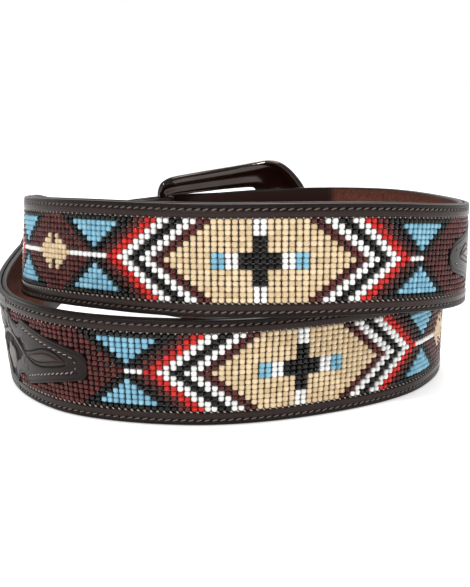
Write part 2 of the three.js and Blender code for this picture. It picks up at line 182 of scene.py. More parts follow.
# Height of the buckle end: over the bar, down to the flap it is sewn to, down to the coil.
def buckleLeg(x):
    joined = mix(legHigh, joinedHigh, ease(x, *beltValues["join"]))
    return mix(joined, restOffset, ease(x, beltValues["flap"], beltValues["release"]))


# Height of the base layer's middle over the coil's centre: up over the bar at the buckle end,
# and up through the frame and over the leg at the tail.
def baseHeight(x):
    x = np.asarray(x, float)
    past = x - loopLength
    lifted = mix(restOffset, tailOverEye, ease(past, *beltValues["lift"]))
    overLeg = buckleLeg(past) + faceHigh + gap + base / 2 + beltValues["tailSpare"]
    start = beltValues["faceStart"]
    settled = mix(lifted, overLeg, ease(past, start, start + beltValues["tailSettle"]))
    tail = np.where(past < start, lifted, settled)
    return np.where(x < loopLength / 2, buckleLeg(x), tail)


# A point on the belt at a distance off the base layer's middle, square to its own line.
def onBelt(along, across, off):
    along = np.asarray(along, float)
    step = 0.0005
    slope = (baseHeight(along + step) - baseHeight(along - step)) / (2 * step)
    scale = 1 / np.sqrt(1 + slope * slope)
    return place(along - slope * scale * off, across, baseHeight(along) + scale * off)


# Three axes at a point of the belt: along it, across it upward, and out of its face.
def beltAxes(along, across, off):
    step = 0.0004
    run = unit(onBelt(along + step, across, off) - onBelt(along - step, across, off))
    rise = unit(onBelt(along, across + step, off) - onBelt(along, across - step, off))
    return np.stack([run, rise, np.cross(run, rise)], axis=-2)


# Outlines of the tongues and the tail: distance back from the tip and half width, as shares.
tongueRows = np.array([
    (0, 0.113), (0.0109, 0.211), (0.0304, 0.303), (0.0652, 0.373), (0.1304, 0.43),
    (0.2174, 0.486), (0.3696, 0.585), (0.5652, 0.739), (0.7174, 0.866), (0.7435, 0.88),
    (0.7826, 0.732), (0.837, 0.669), (0.9022, 0.711), (0.9565, 0.831), (1, 1),
])
tailRows = np.array([
    (0, 0.158), (0.033, 0.316), (0.108, 0.484), (0.25, 0.663), (0.458, 0.821),
    (0.708, 0.937), (1, 1),
])


# Half width back from a tongue's tip: read from the rows by the root of the distance, which
# rounds the tip instead of leaving it faceted.
def tongueHalf(back):
    share = np.sqrt(np.clip(back, 0, None) / tongueLength)
    reach = borderInner * np.interp(share, np.sqrt(tongueRows[:, 0]), tongueRows[:, 1])
    return np.where(back > shoulder - 1e-6, faceHalf, reach)


# Half width back from the tail's tip, read from its rows in the same way.
def tailHalf(back):
    share = np.sqrt(np.clip(back, 0, None) / beltValues["tailTaper"])
    return halfWidth * np.interp(share, np.sqrt(tailRows[:, 0]), tailRows[:, 1])


# Even places from one end to the other, about a step apart.
def spread(low, high, step):
    return np.linspace(low, high, max(2, int(round(abs(high - low) / step)) + 1))


# Quads of a grid whose rows follow each other, with either direction closed where asked.
def gridFaces(rows, columns, closeRows=False, closeColumns=False):
    r = np.arange(rows if closeRows else rows - 1)[:, None]
    c = np.arange(columns if closeColumns else columns - 1)[None, :]
    here, ahead = r * columns, (r + 1) % rows * columns
    side = (c + 1) % columns
    return np.stack([here + c, here + side, ahead + side, ahead + c], axis=-1).reshape(-1, 4)


# Faces of a closed ring carried over rows of points, and its two end caps.
def tubeFaces(rows, sides):
    ring = np.arange(sides)
    return gridFaces(rows, sides, closeColumns=True), [ring[::-1], ring + (rows - 1) * sides]


# Faces of equal four-sided bars that follow each other, both ends of each closed by a quad.
def barFaces(bars, rows):
    quads, ends = tubeFaces(rows, 4)
    one = np.concatenate([quads, ends])
    return (one + (np.arange(bars) * rows * 4)[:, None, None]).reshape(-1, 4)


# A new object in the scene at the origin, unturned.
def addObject(name, data):
    made = bpy.data.objects.new(name, data)
    bpy.context.scene.collection.objects.link(made)
    return made


# A mesh from points and quads, with end caps as single faces and named numbers on its points.
def makePiece(name, points, quads, material, caps=(), numbers=None, sharp=None):
    mesh = bpy.data.meshes.new(name)
    points = np.asarray(points, float).reshape(-1, 3)
    sizes = np.concatenate([np.full(len(quads), 4), [len(cap) for cap in caps]]).astype(np.int32)
    corners = np.concatenate([np.asarray(quads).ravel()] + [np.asarray(c) for c in caps])
    mesh.vertices.add(len(points))
    mesh.vertices.foreach_set("co", points.astype(np.float32).ravel())
    mesh.loops.add(len(corners))
    mesh.loops.foreach_set("vertex_index", corners.astype(np.int32))
    mesh.polygons.add(len(sizes))
    starts = np.concatenate([[0], np.cumsum(sizes)[:-1]]).astype(np.int32)
    mesh.polygons.foreach_set("loop_start", starts)
    mesh.polygons.foreach_set("use_smooth", np.ones(len(sizes), bool))
    mesh.update(calc_edges=True)
    for label, values in (numbers or {}).items():
        attribute = mesh.attributes.new(label, "FLOAT", "POINT")
        attribute.data.foreach_set("value", np.asarray(values, np.float32).ravel())
    if sharp is not None:
        mesh.set_sharp_from_angle(angle=math.radians(sharp))
    mesh.materials.append(material)
    piece = addObject(name, mesh)
    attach(piece, "root")
    return piece


# Copies of one small closed form: each point of it, scaled, turned and set at each place.
def makeCopies(name, form, quads, places, axes, scales, material, numbers=None):
    scaled = form[None, :, :] * scales[:, None, :]
    points = places[:, None, :] + np.einsum("nvk,nkc->nvc", scaled, axes)
    offsets = (np.arange(len(places)) * len(form))[:, None, None]
    faces = (np.asarray(quads)[None] + offsets).reshape(-1, 4)
    perPoint = {key: np.repeat(value, len(form)) for key, value in (numbers or {}).items()}
    return makePiece(name, points, faces, material, numbers=perPoint)


# A socket whose arithmetic adds Math nodes beside it.
class Flow:
    def __init__(self, tree, socket):
        self.tree = tree
        self.socket = socket

    def math(self, operation, *others):
        node = self.tree.nodes.new("ShaderNodeMath")
        node.operation = operation
        for index, item in enumerate((self,) + others):
            feed(self.tree, node.inputs[index], item)
        return Flow(self.tree, node.outputs[0])

    def __add__(self, other):
        return self.math("ADD", other)

    def __sub__(self, other):
        return self.math("SUBTRACT", other)

    def __rsub__(self, other):
        return self.math("MULTIPLY", -1.0) + other

    def __mul__(self, other):
        return self.math("MULTIPLY", other)

    def held(self):
        return self.math("MINIMUM", 1.0).math("MAXIMUM", 0.0)

    __radd__ = __add__
    __rmul__ = __mul__


def feed(tree, socket, item):
    if isinstance(item, Flow):
        tree.links.new(item.socket, socket)
    else:
        socket.default_value = item


# One surface finish: a material with a Principled shader and one method for every other node.
class Finish:
    def __init__(self, name, **fixed):
        self.material = bpy.data.materials.new(name)
        self.material.use_nodes = True
        self.tree = self.material.node_tree
        self.shader = self.tree.nodes["Principled BSDF"]
        self.put(**fixed)

    def node(self, kind, settings=None, inputs=None, output=0):
        made = self.tree.nodes.new(kind)
        for key, value in (settings or {}).items():
            setattr(made, key, value)
        for key, value in (inputs or {}).items():
            feed(self.tree, made.inputs[key], value)
        return Flow(self.tree, made.outputs[output])

    def coordinates(self, stretch=None):
        where = self.node("ShaderNodeTexCoord", output=3)
        if stretch is None:
            return where
        return self.node("ShaderNodeMapping", {}, {"Vector": where, "Scale": stretch})

    def noise(self, scale, detail=3.0, stretch=None, roughness=0.55):
        return self.node("ShaderNodeTexNoise", {}, {
            "Vector": self.coordinates(stretch), "Scale": scale, "Detail": detail,
            "Roughness": roughness})

    def number(self, label):
        return self.node("ShaderNodeAttribute", {"attribute_name": label}, output=2)

    def blend(self, share, first, second):
        return self.node("ShaderNodeMix", {"data_type": "RGBA"}, {
            0: share, 6: first, 7: second}, output=2)

    def bump(self, height, strength, distance):
        self.put(Normal=self.node("ShaderNodeBump", {}, {
            "Height": height, "Strength": strength, "Distance": distance}))

    def put(self, **inputs):
        for key, item in inputs.items():
            feed(self.tree, self.shader.inputs[key.replace("_", " ")], item)
        return self.material


# A display colour as linear light, by the usual screen curve.
def paint(red, green, blue):
    shares = (red / 255, green / 255, blue / 255)
    linear = [v / 12.92 if v <= 0.04045 else ((v + 0.055) / 1.055) ** 2.4 for v in shares]
    return (*linear, 1.0)


# Dark satin leather: brown mixed lighter by broad noise, with painted shade near black in tooled
# hollows, stitch pits and creases, paler on what stands high as partly wear and partly painted
# highlight, with fine pores in the bump.
def faceLeather():
    finish = Finish("face_leather", Specular_IOR_Level=0.1)
    broad = finish.noise(90.0, 4.0)
    pores = finish.node("ShaderNodeTexVoronoi", {"feature": "F1"}, {
        "Vector": finish.coordinates(), "Scale": 2600.0})
    fine = finish.noise(1500.0, 4.0, None, 0.6)
    hollow = finish.number("hollow")
    wearAndSheen = finish.number("wearAndSheen")
    brown = finish.blend(broad, paint(19, 13, 12), paint(36, 26, 24))
    # Painted shade: hollows, stitch pits, creases and carved lines go near black.
    brown = finish.blend(hollow, brown, paint(5, 4, 4))
    # Paler where it stands high: partly wear, partly painted highlight.
    brown = finish.blend(wearAndSheen * 0.35, brown, paint(88, 72, 68))
    finish.bump(pores * 0.5 + fine * 0.6, 0.35, 0.0002)
    return finish.put(
        Base_Color=brown, Roughness=broad * 0.1 + 0.24 + hollow * 0.3 - wearAndSheen * 0.06)


# Rough flesh side: red-brown mottled by two noises, smooth and dark near the buckle, with
# burnished dark edges.
def strapLeather():
    finish = Finish("strap_leather", Specular_IOR_Level=0.1)
    broad = finish.noise(45.0, 4.0)
    nap = finish.noise(900.0, 5.0, None, 0.7)
    edge = finish.number("edge")
    smooth = finish.number("smooth")
    flesh = finish.blend((broad * 1.4 - 0.2).held(), paint(48, 22, 18), paint(88, 44, 35))
    flesh = finish.blend((nap * 2.2 - 0.7).held() * 0.6, flesh, paint(142, 92, 74))
    grain = finish.blend(broad, paint(27, 13, 10), paint(48, 26, 20))
    colour = finish.blend(edge, finish.blend(smooth, flesh, grain), paint(22, 15, 14))
    plain = edge.math("MAXIMUM", smooth)
    finish.bump(nap * (1 - plain), 0.8, 0.0006)
    return finish.put(Base_Color=colour, Roughness=0.85 - plain * 0.5)


# Glass beads of one colour: each bead lighter or darker by its own number, glossy.
def beadGlass(name, dark, light, rough):
    finish = Finish(name, Specular_IOR_Level=0.3)
    tone = finish.number("tone")
    speck = finish.noise(2200.0, 2.0)
    finish.bump(speck, 0.08, 0.0001)
    colour = finish.blend((tone * 0.8 + speck * 0.2).held(), dark, light)
    return finish.put(Base_Color=colour, Roughness=tone * 0.08 + rough)


# Twisted thread: a fuzzy mix of two colours with a fine bump.
def threadFinish(name, dark, light, rough):
    finish = Finish(name)
    fuzz = finish.noise(2500.0, 3.0)
    finish.bump(fuzz, 0.5, 0.0002)
    return finish.put(Base_Color=finish.blend(fuzz, dark, light), Roughness=fuzz * 0.2 + rough)


# Polished dark metal: smoke grey with faint brushed lines that vary its roughness.
def buckleMetal():
    finish = Finish("buckle_metal", Metallic=1.0)
    cloud = finish.noise(60.0, 3.0)
    scratch = finish.noise(700.0, 3.0, (1.0, 1.0, 9.0))
    finish.bump(scratch, 0.05, 0.0001)
    colour = finish.blend(cloud, paint(62, 55, 52), paint(94, 87, 83))
    return finish.put(Base_Color=colour, Roughness=scratch * 0.08 + 0.05)


leatherFace = faceLeather()
leatherStrap = strapLeather()
metal = buckleMetal()
darkThread = threadFinish("sewing_thread", paint(52, 43, 40), paint(128, 114, 106), 0.2)
paleThread = threadFinish("weaving_thread", paint(138, 128, 116), paint(206, 200, 190), 0.4)
tongueThread = threadFinish("tongue_thread", paint(112, 98, 90), paint(196, 184, 170), 0.25)
print("stage 2: materials made")

# Strap: a rounded section carried along the flap, round the bar, the two turns and the tail.
strapValues = {
    "step": 0.0015, "edgeRound": 0.0009, "across": 9, "roundSteps": 5, "foldSteps": 24,
    "lined": (0.083, 0.087), "tipSteps": (0.0002, 0.004, 9), "darkEdge": 0.0008, "sharp": 40,
}


# Section ring: lower face, half ellipse at the upper edge, upper face back, half ellipse at the
# lower edge, as shares of the half width with an inset, and distance off the middle.
def strapSection():
    edgeRound, across = strapValues["edgeRound"], strapValues["across"]
    roundSteps, half = strapValues["roundSteps"], base / 2
    flat = np.linspace(-1, 1, across)
    turn = np.linspace(-np.pi / 2, np.pi / 2, roundSteps + 2)[1:-1]
    share = np.concatenate([flat, np.ones(roundSteps), flat[::-1], -np.ones(roundSteps)])
    inset = np.concatenate([
        flat * -edgeRound, edgeRound * (np.cos(turn) - 1), flat[::-1] * -edgeRound,
        edgeRound * (1 - np.cos(turn))])
    off = np.concatenate([
        np.full(across, -half), half * np.sin(turn), np.full(across, half),
        -half * np.sin(turn)])
    return share, inset, off


# The strap's middle line, as places along the belt and heights: the flap back to the fold, half
# a turn round the bar, and the run to the tail's tip.
def strapLine():
    flapRun = spread(beltValues["flap"], 0, strapValues["step"])
    flapHeight = mix(legLow, joinedLow, ease(flapRun, *beltValues["join"]))
    turn = np.pi * (0.5 + np.linspace(0, 1, strapValues["foldSteps"] + 1)[1:-1])
    reach = frameValues["bar"] / 2 + barClearance
    rise = (legHigh - legLow) / 2
    run = spread(0, tailTip, strapValues["step"])
    run = np.unique(np.concatenate([run, tailTip - np.geomspace(*strapValues["tipSteps"])]))
    along = np.concatenate([flapRun, reach * np.cos(turn), run])
    heights = np.concatenate([flapHeight, barCentre - rise * np.sin(turn), baseHeight(run)])
    return along, heights


# Cutters: a round or drawn-out pin at each of the tail's holes, and a drum for the prong's eye.
holeValues = {
    "diameter": 0.005, "spacing": 0.025, "count": 5, "fromBar": -0.017, "stretch": 0.0046,
    "sides": 28, "pass": 0.0008, "slotSides": 40,
}
usedHole = holeValues["count"] // 2
holePlaces = loopLength + holeValues["fromBar"] + holeValues["spacing"] * (
    np.arange(holeValues["count"]) - usedHole)


# Rings at both ends of a pin through the tail: a circle whose halves are moved apart along the
# belt by the stretch.
def pinRings(along, stretch):
    turn = np.arange(holeValues["sides"]) / holeValues["sides"] * 2 * np.pi
    radius = holeValues["diameter"] / 2
    x = radius * np.cos(turn) + np.sign(np.round(np.cos(turn), 6)) * stretch
    y = radius * np.sin(turn)
    middle = baseHeight(along) + faceHigh - faceTotal / 2
    reach = faceTotal / 2 + holeValues["pass"] + stretch
    return np.stack([place(along + x, halfWidth + y, middle + side * reach) for side in (-1, 1)])


# Rings at both ends of the drum: a circle round the bar's middle line, the prong's width and a
# gap on each side apart.
def drumRings():
    turn = np.arange(holeValues["slotSides"]) / holeValues["slotSides"] * 2 * np.pi
    halfSlot = frameValues["prongWidth"] / 2 + gap
    x, z = slotRadius * np.cos(turn), barCentre + slotRadius * np.sin(turn)
    return np.stack([place(x, halfWidth + side * halfSlot, z) for side in (-1, 1)])


# Turns every face of a closed form outwards.
def turnOutward(mesh):
    shape = bmesh.new()
    shape.from_mesh(mesh)
    bmesh.ops.recalc_face_normals(shape, faces=shape.faces[:])
    shape.to_mesh(mesh)
    shape.free()


# Cuts drums of two rings each out of a piece and keeps the result as its mesh.
def cutPiece(piece, ringSets, sharp):
    faces, start = [], 0
    for rings in ringSets:
        quads, ends = tubeFaces(2, rings.shape[1])
        faces += (quads + start).tolist() + [(end + start).tolist() for end in ends]
        start += 2 * rings.shape[1]
    mesh = bpy.data.meshes.new("cutter")
    mesh.from_pydata(np.concatenate([r.reshape(-1, 3) for r in ringSets]).tolist(), [], faces)
    turnOutward(mesh)
    cutter = addObject("cutter", mesh)
    modifier = piece.modifiers.new("cut", "BOOLEAN")
    modifier.operation = "DIFFERENCE"
    modifier.object = cutter
    modifier.solver = "EXACT"
    graph = bpy.context.evaluated_depsgraph_get()
    result = bpy.data.meshes.new_from_object(piece.evaluated_get(graph))
    piece.modifiers.remove(modifier)
    old = piece.data
    piece.data = result
    bpy.data.meshes.remove(old)
    bpy.data.objects.remove(cutter)
    bpy.data.meshes.remove(mesh)
    result.name = piece.name
    result.set_sharp_from_angle(angle=math.radians(sharp))


tailPins = [
    pinRings(along, holeValues["stretch"] if index == usedHole else 0.0)
    for index, along in enumerate(holePlaces)
]


# The section carried square to the middle line, with numbers for the dark edge and lined ends.
def makeStrap():
    along, heights = strapLine()
    runX, runY = np.gradient(along), np.gradient(heights)
    length = np.hypot(runX, runY)
    normalX, normalY = -runY / length, runX / length
    share, inset, off = strapSection()
    half = np.where(along < loopLength / 2, halfWidth, tailHalf(tailTip - along))
    across = halfWidth + share[None, :] * half[:, None] + inset[None, :]
    points = place(
        along[:, None] + normalX[:, None] * off, across, heights[:, None] + normalY[:, None] * off)
    fromEdge = half[:, None] - np.abs(across - halfWidth)
    lined = 1 - ease(along, *strapValues["lined"])
    lined = np.maximum(lined, 1 - ease(loopLength - along, *strapValues["lined"]))
    quads, caps = tubeFaces(len(along), len(share))
    strap = makePiece(
        "strap_band", points, quads, leatherStrap, caps=caps,
        numbers={
            "edge": 1 - np.clip(fromEdge / strapValues["darkEdge"] - 0.5, 0, 1),
            "smooth": np.repeat(lined, len(share))})
    cutPiece(strap, tailPins + [drumRings()], strapValues["sharp"])
    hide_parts("strap")
    return strap


strap = makeStrap()
print("stage 3: strap,", len(strap.data.polygons), "faces")

# Borders: two narrow leather strips with rounded edges, a stitch line in a groove and a crease.
borderValues = {
    "step": 0.00055, "pitch": 0.0027, "stitchIn": 0.0021, "grooveDepth": 0.0003,
    "grooveHalf": 0.00045, "pitDepth": 0.0005, "pitHalf": 0.00045, "edgeRound": 0.0006,
    "across": 22, "creaseIn": 0.0002, "creaseDepth": 0.00012, "creaseHalf": 0.00018,
    "wearAndSheen": 0.0012,
}
coverSharp = 55


# A cover strip's section: flat underside, a quarter round up the upper edge, the top back across,
# and a quarter round down the lower edge, given as a share of half width, an inset and a height.
def coverSection(edgeRound, across):
    turn = np.radians([0, 30, 60])
    top = np.linspace(1, -1, across)
    pull = edgeRound * (1 - np.cos(turn))
    rise = faceHigh - edgeRound + edgeRound * np.sin(turn)
    share = np.concatenate([[-1, 0, 1], np.ones(3), top, -np.ones(3)])
    inset = np.concatenate([np.zeros(3), -pull, -edgeRound * top, pull[::-1]])
    off = np.concatenate([np.full(3, faceLow), rise, np.full(across, faceHigh), rise[::-1]])
    return share, inset, off


# A strip on the belt's face: its section at every station, lowered by a relief that is worked out
# from the place along and across, with the shares of painted shade in its hollows and of wear and
# painted highlight on what stands high kept for its colour.
def makeCover(name, node, along, half, middle, relief, values):
    share, inset, off = coverSection(values["edgeRound"], values["across"])
    where = middle + share[None, :] * half[:, None] + inset[None, :]
    alongAll = np.broadcast_to(along[:, None], where.shape)
    depth, hollow, wearAndSheen = relief(alongAll, where)
    top = np.abs(off - faceHigh) < 1e-9
    offAll = off[None, :] + np.where(top[None, :], depth, 0)
    quads, caps = tubeFaces(*where.shape)
    piece = makePiece(
        name, onBelt(alongAll, where, offAll), quads, leatherFace, caps=caps,
        # Numbers for painted shade in the hollows and for wear and painted highlight.
        numbers={"hollow": hollow, "wearAndSheen": wearAndSheen}, sharp=coverSharp)
    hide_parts(node)
    return piece


# A rounded bump that falls off with the square of the distance as a share of its half width.
def bell(distance, half):
    return np.exp(-(distance / half) ** 2)


# A shallow groove under the stitches, deepest in the holes between them, and each hole's share,
# which the colour takes as painted shade.
def stitchRelief(run, side):
    pitch = borderValues["pitch"]
    toHole = (run + pitch / 2) % pitch - pitch / 2
    groove = bell(side, borderValues["grooveHalf"])
    pit = bell(side, borderValues["pitHalf"]) * bell(toHole, borderValues["pitHalf"])
    return -borderValues["grooveDepth"] * groove - borderValues["pitDepth"] * pit, pit


# A border's relief: the stitch groove, a creased line near its outer edge, with painted shade in
# the stitch holes and the crease, and paler in the middle as partly wear, partly painted highlight.
def borderRelief(middle):
    outer = 1 if middle > halfWidth else -1
    line = halfWidth + outer * (halfWidth - borderValues["stitchIn"])
    inward = borderValues["edgeRound"] + borderValues["creaseIn"]
    crease = halfWidth + outer * (faceHalf - inward)
    wearAndSheenHalf = borderValues["wearAndSheen"]

    def relief(along, across):
        depth, pit = stitchRelief(along - borderFrom, across - line)
        edgeLine = bell(across - crease, borderValues["creaseHalf"])
        # Paler in the middle: partly wear, partly painted highlight.
        wearAndSheen = bell((across - middle) * outer + wearAndSheenHalf, wearAndSheenHalf) * 0.5
        depth = depth - borderValues["creaseDepth"] * edgeLine
        # Painted shade in the stitch holes and along the crease line.
        return depth, np.clip(pit + edgeLine * 0.6, 0, 1), wearAndSheen
    return relief


borderFrom = tongueA - shoulder + gap
borderTo = tongueB + shoulder - gap
borderHalf = (beltValues["border"] - beltValues["inset"]) / 2
borderMiddle = beltValues["inset"] + borderHalf
borderRun = spread(borderFrom, borderTo, borderValues["step"])
for level, middle in (("lower", borderMiddle), ("upper", beltWidth - borderMiddle)):
    makeCover(
        "border_strip_" + level, "border_" + level, borderRun,
        np.full(len(borderRun), borderHalf), middle, borderRelief(middle), borderValues)
print("stage 4: borders")

# Billets: tongued covers with carved leaves and flowers on a matted ground inside two creases.
billetValues = {
    "step": 0.0005,
    "across": 84,
    "edgeRound": 0.0007,
    "tongueSteps": (0.00004, 0.002, 12),
    "tipSteps": (0.0001, 0.003, 10),
    "groundDepth": 0.00042,
    "crown": 0.00012,
    "field": 0.0132,
    "creases": (0.0139, 0.0146),
    "edgeStitch": 0.0026,
    "tongueStitch": 0.0033,
    "tonguePitch": 0.0024,
    "stitchedTo": 0.034,
    "vineSwing": 0.0052,
    "vineLength": 0.048,
    "vineHalf": 0.0009,
    "leafLength": 0.0125,
    "leafWidth": 0.0031,
    "flower": 0.0056,
    "flowerSide": 0.0048,
    "flowerRing": 0.0017,
    "fieldStart": 0.036,
    "fieldFade": (-0.006, 0.002),
    "fieldIn": 0.0054,
    "creaseIn": 0.0048,
    "stitchedFrom": 0.004,
    "stitchHalf": 0.0004,
    "matPitch": 0.0011,
    "matDepth": 0.00012,
    "crownReach": 0.0012,
    "cutHalf": 0.0003,
    "veinDepth": 0.0002,
    "lineDepth": 0.00022,
    "lineHalf": 0.00022,
    "bevelIn": 0.0012,
    "bevelDepth": 0.00014,
}
# Leaves at each crest of the vine: place from the crest, place to its outer side, and turn.
leafRows = [
    (-0.004, 0.0058, 0.5), (0.003, 0.0062, 0.35), (-0.0155, -0.0012, -1.15),
    (-0.0125, 0.0035, 2.2), (0.0095, -0.0032, -0.95),
]
# The tongue's leaf: where it starts, its length, half width, inner half width and sideways bend,
# then its swell and the depth of its lines.
tongueLeaf = {
    "start": 0.0085, "length": 0.027, "half": 0.0034, "inner": 0.0017, "bend": 0.0008,
    "swell": 0.0002, "depth": 0.00044, "lineHalf": 0.0003, "innerLine": 0.00024,
}


# Distance inside a leaf: its half width, a sine of a power of the way along, less the distance
# from its bent middle line; and its vein and ribs.
def leafInside(u, v, start, angle):
    length, width = billetValues["leafLength"], billetValues["leafWidth"]
    c, s = math.cos(angle), math.sin(angle)
    p = ((u - start[0]) * c + (v - start[1]) * s) / length
    q = -(u - start[0]) * s + (v - start[1]) * c
    q = q - 0.12 * length * np.sin(np.pi * np.clip(p, 0, 1))
    along = np.clip(p, 1e-6, 1)
    inside = width * np.sin(np.pi * along ** 0.72) - np.abs(q)
    inside = np.where((p > 0) & (p < 1), inside, -np.maximum(np.abs(p - 0.5) - 0.5, 0) * length)
    vein = bell(q, billetValues["lineHalf"]) * ((p > 0.05) & (p < 0.9))
    ribs = bell(np.sin((p * 6.5 - np.abs(q) / width * 0.9) * np.pi), 0.35) * 0.5
    return inside, np.maximum(vein, ribs * (inside > 0.0004))


# Carving over a billet by the distance back from the tongue's tip and from the middle line: raised
# forms stay at the face, the ground between them is lowered and matted. The lowered ground, veins
# and cut edges get painted shade, and the raised forms are paler, partly wear and partly painted
# highlight.
def carving(u, v):
    values, cutHalf = billetValues, billetValues["cutHalf"]
    swing = 2 * np.pi / values["vineLength"]
    phase = (u - values["fieldStart"]) * swing
    stem = values["vineSwing"] * np.sin(phase)
    slope = values["vineSwing"] * swing * np.cos(phase)
    inside = values["vineHalf"] - np.abs(v - stem) / np.sqrt(1 + slope ** 2)
    veins = np.zeros_like(u)
    flowers = np.full_like(u, -1.0)
    count = int((u.max() - values["fieldStart"]) / (values["vineLength"] / 2)) + 2
    for index in range(count):
        side = 1 if index % 2 == 0 else -1
        crest = values["fieldStart"] + values["vineLength"] * (0.25 + 0.5 * index)
        dx, dy = u - crest, v + side * values["flowerSide"]
        r, turn = np.hypot(dx, dy), np.arctan2(dy, dx)
        petals = values["flower"] * (0.8 + 0.2 * np.abs(np.cos(2.5 * turn + index))) - r
        flowers = np.maximum(flowers, petals)
        petalLines = bell(np.sin(2.5 * turn + index), 0.16) * (r > 0.0016)
        ring = bell(r - values["flowerRing"], cutHalf)
        veins = np.maximum(veins, np.maximum(petalLines, ring) * (petals > cutHalf))
        for ahead, outward, angle in leafRows:
            shape, lines = leafInside(u, v, (crest + ahead, side * outward), side * angle)
            veins = np.where(shape > inside, lines, veins * (1 - (shape > 0)))
            inside = np.maximum(inside, shape)
    inside = np.maximum(inside, flowers)
    raised = ease(inside, -values["lineHalf"], values["lineHalf"])
    pitch = values["matPitch"]
    mat = 0.5 + 0.5 * np.sin(u * 2 * np.pi / pitch) * np.sin(v * 2 * np.pi / pitch)
    ground = -values["groundDepth"] * (1 - raised) - values["matDepth"] * mat * (1 - raised)
    crown = values["crown"] * np.clip(inside / values["crownReach"], 0, 1)
    edge = bell(inside + 0.0001, cutHalf)
    depth = ground + crown * raised - values["veinDepth"] * veins * raised
    # Painted shade in the lowered ground, the veins and along the cut edges; the last share is wear
    # and painted highlight on the raised forms.
    hollow = np.clip((1 - raised) * 0.85 + veins * 0.6 + edge * 0.3, 0, 1)
    return depth, hollow, raised * (1 - veins) * 0.6


# A long leaf with a smaller one inside it on the smooth tongue: two grooved outlines, each a sine
# of the way along, on a swell that is highest on the bent middle line. The grooves get painted
# shade and the swell is paler, partly wear and partly painted highlight.
def tongueCarving(u, v):
    leaf = tongueLeaf
    p = np.clip((u - leaf["start"]) / leaf["length"], 0, 1)
    width = leaf["half"] * np.sin(np.pi * p ** 0.8)
    inner = leaf["inner"] * np.sin(np.pi * np.clip((p - 0.1) / 0.75, 0, 1))
    live = (p > 0.01) & (p < 0.99)
    bent = np.abs(v - leaf["bend"] * np.sin(2 * np.pi * p))
    lines = np.maximum(bell(bent - width, leaf["lineHalf"]), bell(bent - inner, leaf["innerLine"]))
    lines = lines * live
    swell = np.clip(1 - bent / np.maximum(width, 1e-4), 0, 1) * live
    # Painted shade in the grooved lines; the swell is paler as wear and painted highlight.
    return leaf["swell"] * swell - leaf["depth"] * lines, np.clip(lines, 0, 1), swell


# A billet's relief: the carved field behind the tongue's leaf, with two creases along each side, a
# stitch line inside the edge, and a bevelled line round the tongue, each with painted shade in it.
def billetRelief(tip, side, halfAt):
    values = billetValues
    fadeFrom, fadeTo = (values["fieldStart"] + step for step in values["fieldFade"])
    lineDepth, lineHalf = values["lineDepth"], values["lineHalf"]

    def relief(along, across):
        u, v = side * (along - tip), across - halfWidth
        half = halfAt(along)
        depth, hollow, wearAndSheen = carving(u, v)
        within = np.minimum(half - values["fieldIn"], values["field"]) - np.abs(v)
        field = ease(u, fadeFrom, fadeTo) * ease(within, -0.0001, 0.0002)
        plain, plainShade, plainWearAndSheen = tongueCarving(u, v)
        depth, hollow = mix(plain, depth, field), mix(plainShade, hollow, field)
        wearAndSheen = mix(plainWearAndSheen, wearAndSheen, field)
        behind = u > shoulder - 1e-6
        for crease in values["creases"]:
            inward = np.minimum(half - values["creaseIn"], crease)
            line = bell(inward - np.abs(v), lineHalf) * behind
            # Painted shade along each crease.
            depth, hollow = depth - lineDepth * line, np.maximum(hollow, line * 0.8)
        edge = half - np.where(behind, values["edgeStitch"], values["tongueStitch"])
        stitched = (u > values["stitchedFrom"]) & ((u < values["stitchedTo"]) | behind)
        line = bell(np.abs(v) - np.maximum(edge, 0), values["stitchHalf"]) * stitched
        # Painted shade along the stitch line.
        depth, hollow = depth - lineDepth * line, np.maximum(hollow, line * 0.45)
        bevel = bell(half - np.abs(v) - values["bevelIn"], values["cutHalf"]) * ~behind
        depth = depth - values["bevelDepth"] * bevel
        # Painted shade along the bevelled line round the tongue.
        return depth, np.maximum(hollow, bevel * 0.5), wearAndSheen
    return relief


# Half widths of the two billets along the belt: a tongue's, and at the tip the smaller of the
# tongue's and the tail's.
def buckleHalf(along):
    return tongueHalf(tongueA - along)


def tipHalf(along):
    return np.minimum(tongueHalf(along - tongueB), tailHalf(faceTip - along) - beltValues["inset"])


# Stations along a billet: even steps, with closer ones at the tongue's tip and its corners.
def billetRun(low, high, tip, side):
    extra = tip + side * np.concatenate([
        np.geomspace(*billetValues["tongueSteps"]), [shoulder - 2e-6, shoulder],
        tongueRows[9:14, 0] * tongueLength])
    run = np.unique(np.concatenate([spread(low, high, billetValues["step"]), extra]))
    return run[np.concatenate([[True], np.diff(run) > 1e-6])]


# A billet: a cover on the middle line whose half width follows its own outline.
def makeBillet(name, node, run, tip, side, halfAt):
    return makeCover(
        name, node, run, halfAt(run), halfWidth, billetRelief(tip, side, halfAt), billetValues)


buckleRun = billetRun(beltValues["faceStart"], tongueA, tongueA, -1)
makeBillet("billet_carved_buckle", "billet_buckle_end", buckleRun, tongueA, -1, buckleHalf)
tipRun = billetRun(tongueB, faceTip, tongueB, 1)
tipRun = np.unique(np.concatenate([tipRun, faceTip - np.geomspace(*billetValues["tipSteps"])]))
tipBillet = makeBillet("billet_carved_tip", "billet_tip_end", tipRun, tongueB, 1, tipHalf)
cutPiece(tipBillet, tailPins, coverSharp)
print("stage 5: billets")


